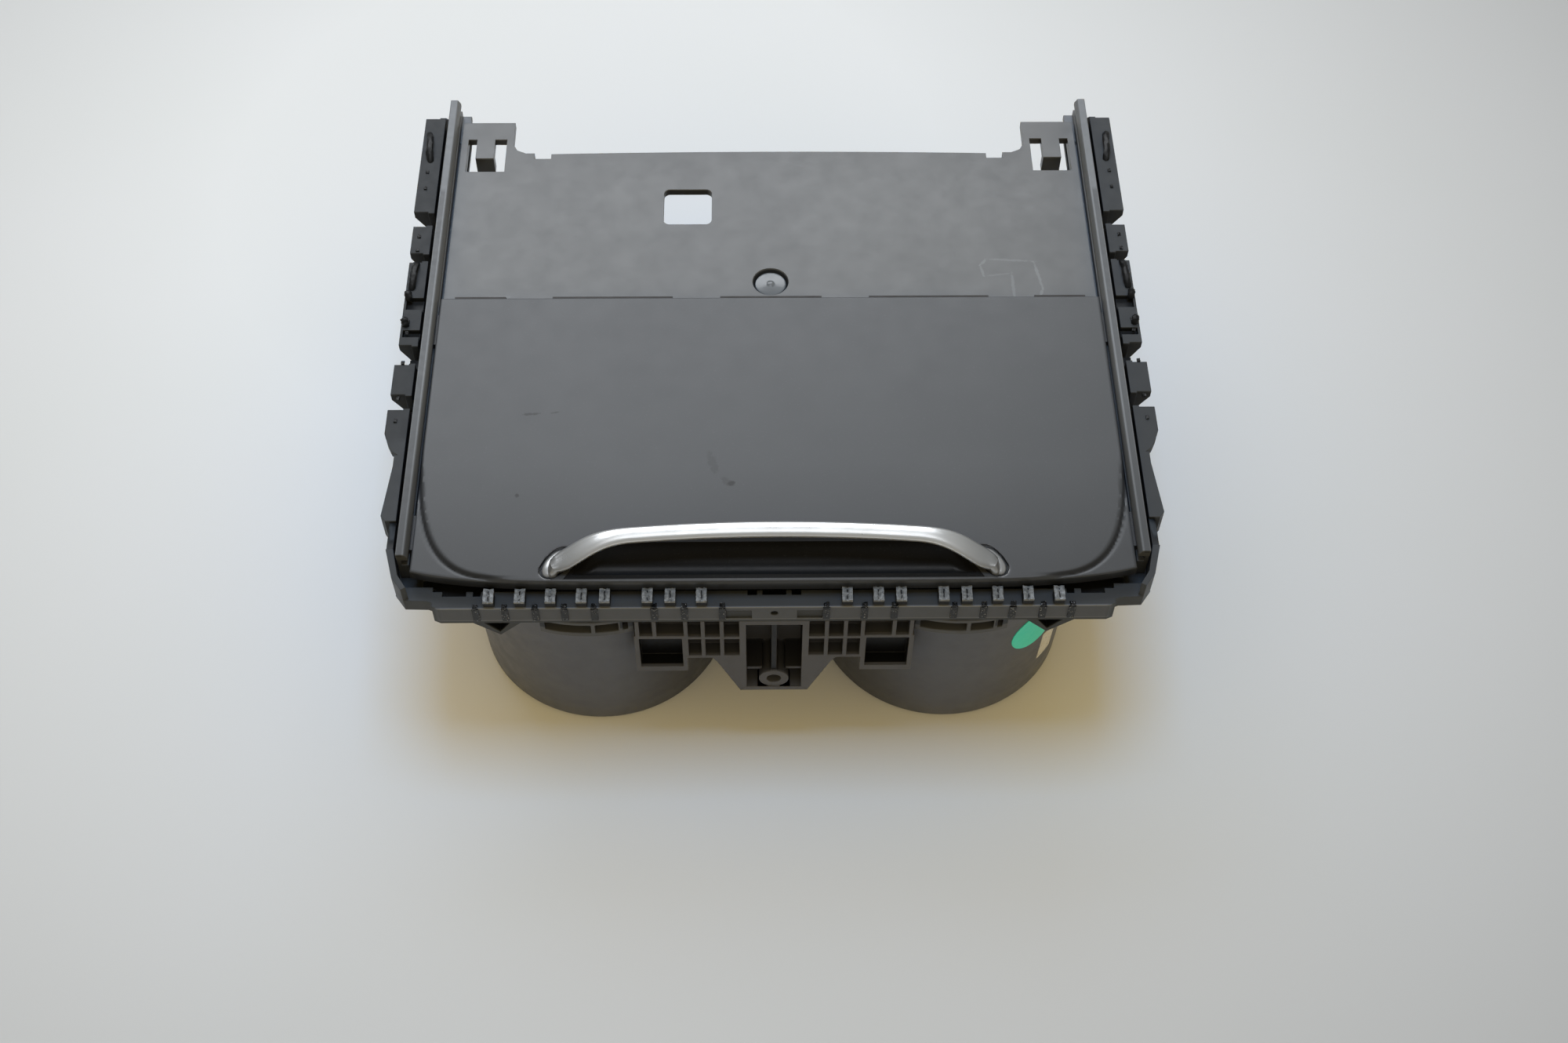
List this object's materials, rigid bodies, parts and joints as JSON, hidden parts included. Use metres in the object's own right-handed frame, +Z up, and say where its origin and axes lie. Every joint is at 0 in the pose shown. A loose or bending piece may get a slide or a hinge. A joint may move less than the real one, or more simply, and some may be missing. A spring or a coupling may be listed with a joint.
{
  "type": "car cup holder",
  "caption": "Twin cup holder insert for a car console: two deep cups with sprung grips under a sliding cover with a bow handle, in a railed frame.",
  "frame": {"origin": "on the ground under the middle of the overall box; the cups' bases stand on z = 0", "axes": "+X across the holder to its right, +Y to the rear, the way the cover slides open, +Z up"},
  "size_m": [0.2324, 0.2008, 0.0932],
  "materials": {
    "frame_plastic": "moulded, fine grain, satin where rubbed",
    "rail_plastic": "moulded, smooth satin",
    "panel_plastic": "moulded, smooth satin with flow marks",
    "cup_plastic": "moulded, satin",
    "bracket_plastic": "moulded, satin",
    "cover_plastic": "fine matte grain",
    "gloss_black": "polished black",
    "satin_silver": "satin",
    "glide_plastic": "smooth, self-lubricating",
    "pad_felt": "matte",
    "mat_rubber": "matte, ringed",
    "grip_rubber": "matte",
    "spring_steel": "bright",
    "screw_steel": "dark zinc",
    "green_film": "printed film",
    "white_film": "paper label"
  },
  "bodies": {
    "housing": {"carrier_frame": "frame_plastic", "left_guide_rail": "rail_plastic", "right_guide_rail": "rail_plastic", "floor_panel": "panel_plastic", "cup_deck": "cup_plastic", "left_cup": "cup_plastic", "right_cup": "cup_plastic", "front_bracket": "bracket_plastic", "left_cup_mat": "mat_rubber", "right_cup_mat": "mat_rubber", "rail_screws": "screw_steel", "well_screws": "screw_steel", "grip_pins": "spring_steel", "green_sticker": "green_film", "white_label": "white_film", "left_front_spring": "spring_steel", "left_inner_spring": "spring_steel", "left_outer_spring": "spring_steel", "right_front_spring": "spring_steel", "right_inner_spring": "spring_steel", "right_outer_spring": "spring_steel"},
    "cover": {"cover_panel": "cover_plastic", "handle_scoop": "gloss_black", "handle_bow": "satin_silver", "left_front_shoe": "glide_plastic", "left_rear_shoe": "glide_plastic", "right_front_shoe": "glide_plastic", "right_rear_shoe": "glide_plastic", "rear_glide_pads": "pad_felt", "left_leaf_spring": "spring_steel", "right_leaf_spring": "spring_steel", "handle_screws": "screw_steel"},
    "left_front_grip": {"left_front_grip": "grip_rubber"},
    "left_inner_grip": {"left_inner_grip": "grip_rubber"},
    "left_outer_grip": {"left_outer_grip": "grip_rubber"},
    "right_front_grip": {"right_front_grip": "grip_rubber"},
    "right_inner_grip": {"right_inner_grip": "grip_rubber"},
    "right_outer_grip": {"right_outer_grip": "grip_rubber"}
  },
  "joints": [
    {"name": "cover_slide", "type": "slide", "parent": "housing", "child": "cover", "axis": [0, 1, 0], "range_m": [0, 0.085]},
    {"name": "left_front_grip_fold", "type": "hinge", "parent": "housing", "child": "left_front_grip", "pos_m": [-0.0545, -0.0957, 0.0726], "axis": [-1, 0, 0], "range_deg": [0, 50], "stiffness_Nm_per_rad": 0.02, "springref_deg": -17.19, "deforming": ["left_front_spring"]},
    {"name": "left_inner_grip_fold", "type": "hinge", "parent": "housing", "child": "left_inner_grip", "pos_m": [-0.01761, -0.0318, 0.0726], "axis": [0.5, -0.866, 0], "range_deg": [0, 50], "stiffness_Nm_per_rad": 0.02, "springref_deg": -17.19, "deforming": ["left_inner_spring"]},
    {"name": "left_outer_grip_fold", "type": "hinge", "parent": "housing", "child": "left_outer_grip", "pos_m": [-0.09139, -0.0318, 0.0726], "axis": [0.5, 0.866, 0], "range_deg": [0, 50], "stiffness_Nm_per_rad": 0.02, "springref_deg": -17.19, "deforming": ["left_outer_spring"]},
    {"name": "right_front_grip_fold", "type": "hinge", "parent": "housing", "child": "right_front_grip", "pos_m": [0.0545, -0.0957, 0.0726], "axis": [-1, 0, 0], "range_deg": [0, 50], "stiffness_Nm_per_rad": 0.02, "springref_deg": -17.19, "deforming": ["right_front_spring"]},
    {"name": "right_inner_grip_fold", "type": "hinge", "parent": "housing", "child": "right_inner_grip", "pos_m": [0.01761, -0.0318, 0.0726], "axis": [0.5, 0.866, 0], "range_deg": [0, 50], "stiffness_Nm_per_rad": 0.02, "springref_deg": -17.19, "deforming": ["right_inner_spring"]},
    {"name": "right_outer_grip_fold", "type": "hinge", "parent": "housing", "child": "right_outer_grip", "pos_m": [0.09139, -0.0318, 0.0726], "axis": [0.5, -0.866, 0], "range_deg": [0, 50], "stiffness_Nm_per_rad": 0.02, "springref_deg": -17.19, "deforming": ["right_outer_spring"]}
  ]
}
